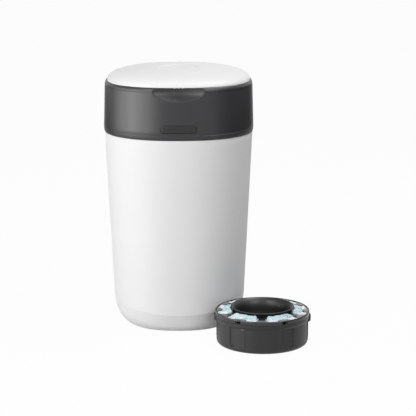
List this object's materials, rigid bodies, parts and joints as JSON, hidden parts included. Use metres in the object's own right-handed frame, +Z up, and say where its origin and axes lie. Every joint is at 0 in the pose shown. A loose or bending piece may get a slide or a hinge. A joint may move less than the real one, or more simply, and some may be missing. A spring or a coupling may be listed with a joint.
{
  "type": "nappy bin",
  "caption": "Upright nappy bin with a hinged domed lid, a hinged upper unit that holds a twisting film ring, and a refill film cartridge beside it.",
  "frame": {"origin": "centre of the bucket's flat base, on the floor", "axes": "+Z up, the front with the finger scoop and the release button faces -Y, +X is to the right as seen from in front"},
  "size_m": [0.3468, 0.3638, 0.4466],
  "materials": {
    "white_plastic": "fine satin moulded polypropylene, white",
    "charcoal_plastic": "satin moulded polypropylene, charcoal",
    "ring_plastic": "satin moulded acetal, dark grey",
    "film": "thin folded polyethylene film, pale blue",
    "rubber": "soft black rubber",
    "steel": "plain bright steel"
  },
  "bodies": {
    "bucket_body": {"bucket": "white_plastic", "base_pads": "rubber", "unit_hinge_lugs": "white_plastic", "unit_hinge_pin": "steel", "latch_keeper": "charcoal_plastic"},
    "upper_unit": {"collar": "charcoal_plastic", "unit_hinge_knuckles": "charcoal_plastic", "deck": "charcoal_plastic", "deck_screws": "steel", "ring_retainer": "charcoal_plastic", "retainer_screws": "steel", "click_spring": "steel", "button_bracket": "charcoal_plastic", "lid_hinge_lugs": "charcoal_plastic", "lid_hinge_pin": "steel", "cutter_pin": "steel", "button_springs": "steel"},
    "twist": {"twist_ring": "ring_plastic"},
    "button": {"release_button": "charcoal_plastic"},
    "lid": {"lid_shell": "white_plastic", "lid_hinge_arms": "white_plastic", "lid_liner": "charcoal_plastic", "lid_seal": "rubber", "liner_screws": "steel"},
    "cutter": {"cutter_arm": "charcoal_plastic", "cutter_blade": "steel"},
    "cartridge": {"cartridge_tub": "charcoal_plastic", "cartridge_cover": "charcoal_plastic", "cartridge_funnel": "charcoal_plastic", "film_pack": "film"}
  },
  "joints": [
    {"name": "unit_hinge", "type": "hinge", "parent": "bucket_body", "child": "upper_unit", "pos_m": [0, 0.1335, 0.338], "axis": [-1, 0, 0], "range_deg": [0, 85]},
    {"name": "lid_hinge", "type": "hinge", "parent": "upper_unit", "child": "lid", "pos_m": [0, 0.1295, 0.4255], "axis": [-1, 0, 0], "range_deg": [0, 100]},
    {"name": "ring_twist", "type": "hinge", "parent": "upper_unit", "child": "twist", "pos_m": [0, 0, 0.3965], "axis": [0, 0, 1], "continuous": true},
    {"name": "button_press", "type": "slide", "parent": "upper_unit", "child": "button", "axis": [0, 1, 0], "range_m": [0, 0.0025], "stiffness_N_per_m": 400, "springref_m": -0.004, "deforming": ["button_springs"]},
    {"name": "cutter_swing", "type": "hinge", "parent": "upper_unit", "child": "cutter", "pos_m": [-0.09199, 0.04809, 0.3436], "axis": [0, 0, 1], "range_deg": [0, 75]},
    {"name": "cartridge_lift", "type": "slide", "parent": "bucket_body", "child": "cartridge", "axis": [0, 0, 1], "range_m": [0, 0.08]}
  ]
}
